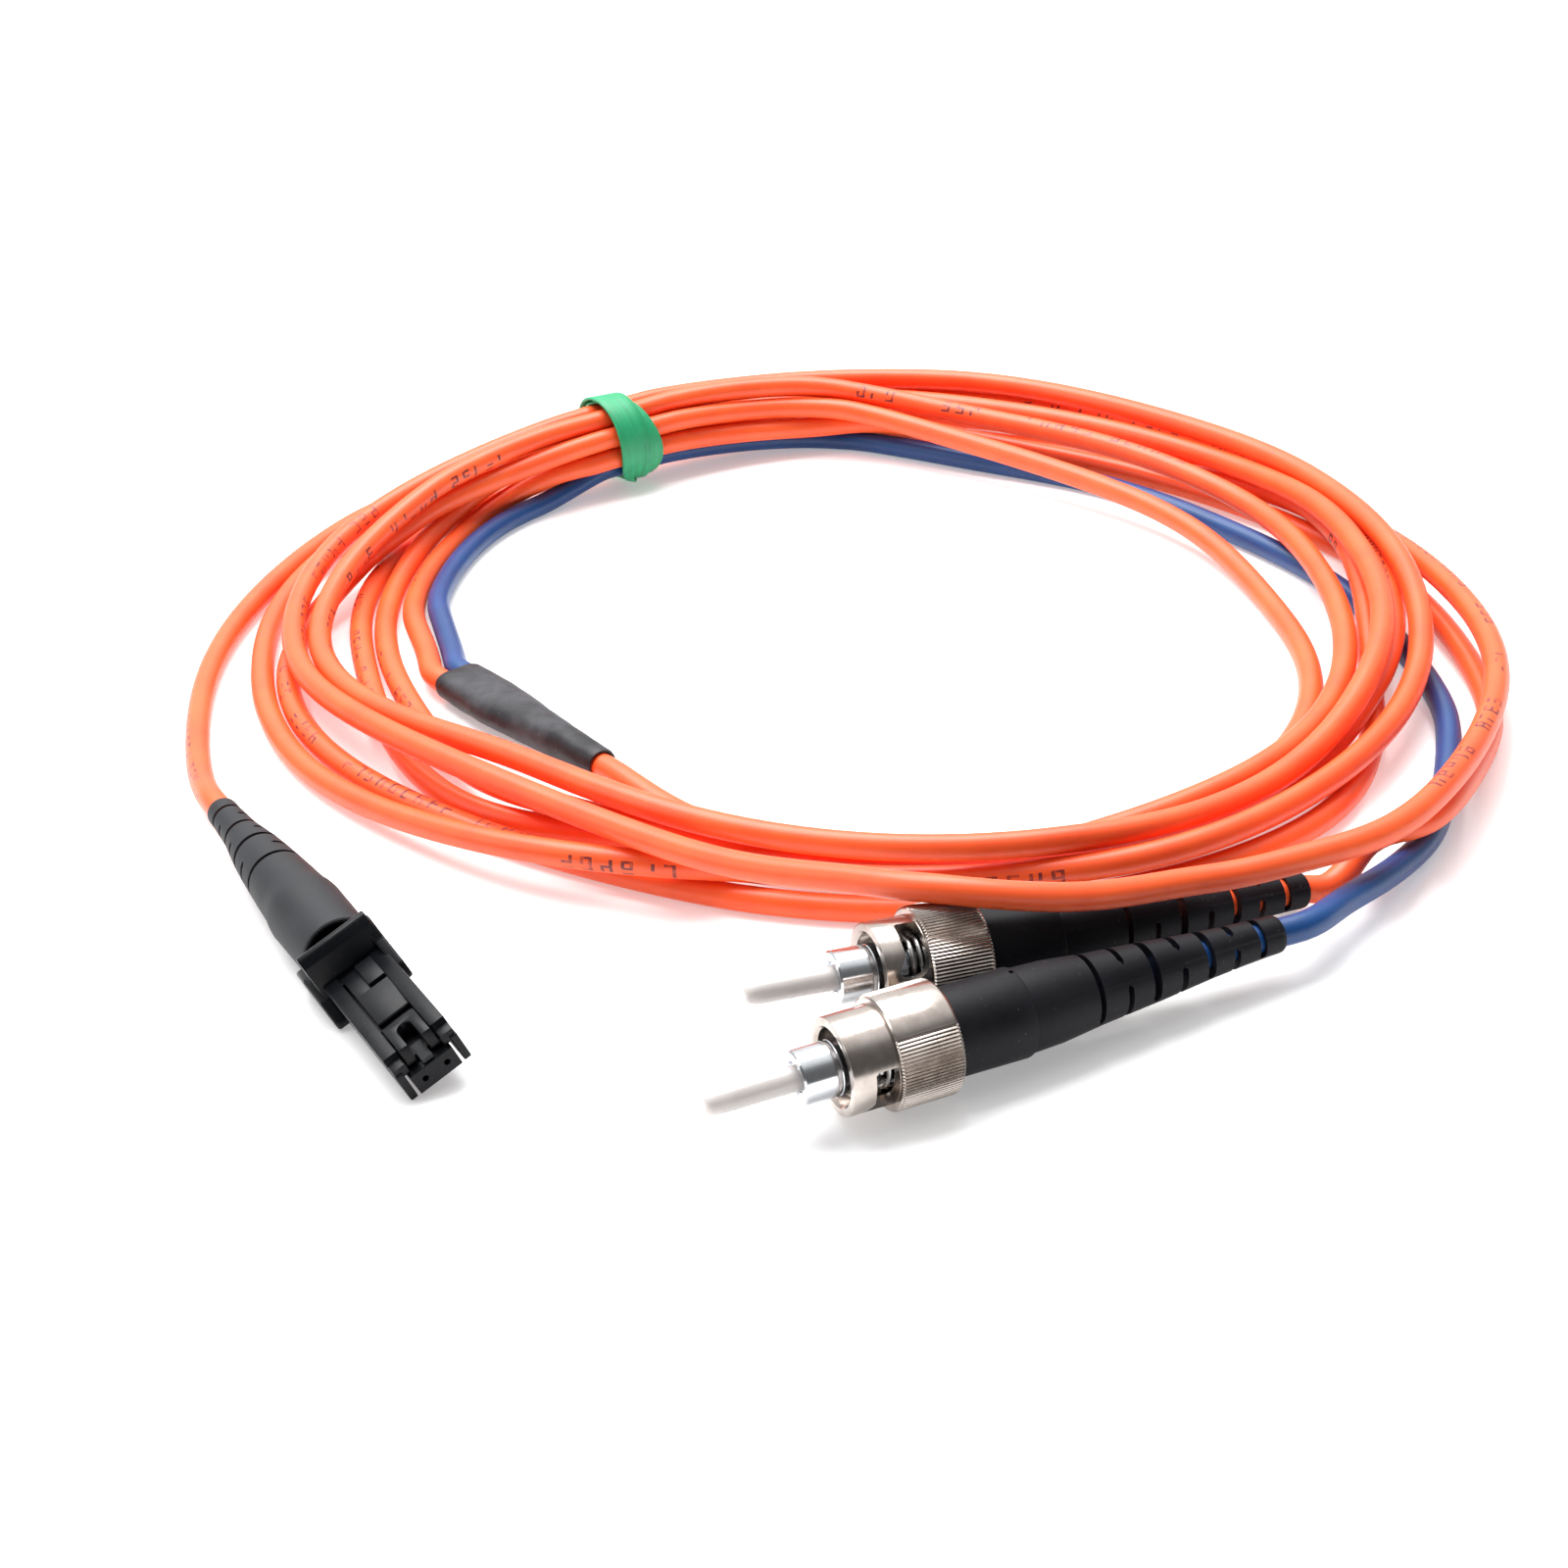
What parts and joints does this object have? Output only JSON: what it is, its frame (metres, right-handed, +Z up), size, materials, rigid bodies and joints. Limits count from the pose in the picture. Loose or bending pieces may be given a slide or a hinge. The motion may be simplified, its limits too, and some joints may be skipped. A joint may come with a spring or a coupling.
{
  "type": "duplex fibre patch cord",
  "caption": "Coiled fibre-optic patch cord: one round cable from a latching duplex plug to a breakout sleeve, then an orange and a blue leg, each ending in a bayonet connector.",
  "frame": {"origin": "on the surface the cord lies on, under the middle of the connectors, sleeve and band taken together", "axes": "+Z up from the surface, +Y from the connectors' side of the coil to the band's side, +X to the right with the connectors at the front"},
  "size_m": [0.1622, 0.1901, 0.015],
  "materials": {
    "orange_jacket": "satin PVC jacket, orange",
    "blue_jacket": "satin PVC jacket, blue",
    "heat_shrink": "matt black heat-shrink tube",
    "band_rubber": "green flat rubber band",
    "black_plastic": "fine satin black moulding",
    "black_boot": "matt black moulded boot",
    "ceramic": "polished white zirconia",
    "steel": "turned steel",
    "nickel": "bright nickel plate over brass"
  },
  "bodies": {
    "cord": {"main_cable": "orange_jacket", "orange_leg": "orange_jacket", "blue_leg": "blue_jacket", "breakout_sleeve": "heat_shrink", "rubber_band": "band_rubber", "plug_housing": "black_plastic", "plug_ferrule": "black_plastic", "plug_boot": "black_boot", "bayonet_front_ferrule": "ceramic", "bayonet_front_barrel": "steel", "bayonet_front_spring": "steel", "bayonet_front_boot": "black_boot", "bayonet_rear_ferrule": "ceramic", "bayonet_rear_barrel": "steel", "bayonet_rear_spring": "steel", "bayonet_rear_boot": "black_boot"},
    "front_washer": {"bayonet_front_washer": "steel"},
    "front_nut": {"bayonet_front_nut": "nickel"},
    "rear_washer": {"bayonet_rear_washer": "steel"},
    "rear_nut": {"bayonet_rear_nut": "nickel"}
  },
  "joints": [
    {"name": "front_nut_slide", "type": "slide", "parent": "cord", "child": "front_washer", "axis": [-0.921, -0.3891, 0.0175], "range_m": [0, 0.0015], "stiffness_N_per_m": 200},
    {"name": "front_nut_turn", "type": "hinge", "parent": "front_washer", "child": "front_nut", "pos_m": [0.01415, -0.08152, 0.00594], "axis": [-0.921, -0.3891, 0.0175], "continuous": true},
    {"name": "rear_nut_slide", "type": "slide", "parent": "cord", "child": "rear_washer", "axis": [-0.9373, -0.3374, 0.0872], "range_m": [0, 0.0015], "stiffness_N_per_m": 200},
    {"name": "rear_nut_turn", "type": "hinge", "parent": "rear_washer", "child": "rear_nut", "pos_m": [0.01859, -0.06682, 0.00628], "axis": [-0.9373, -0.3374, 0.0872], "continuous": true}
  ]
}
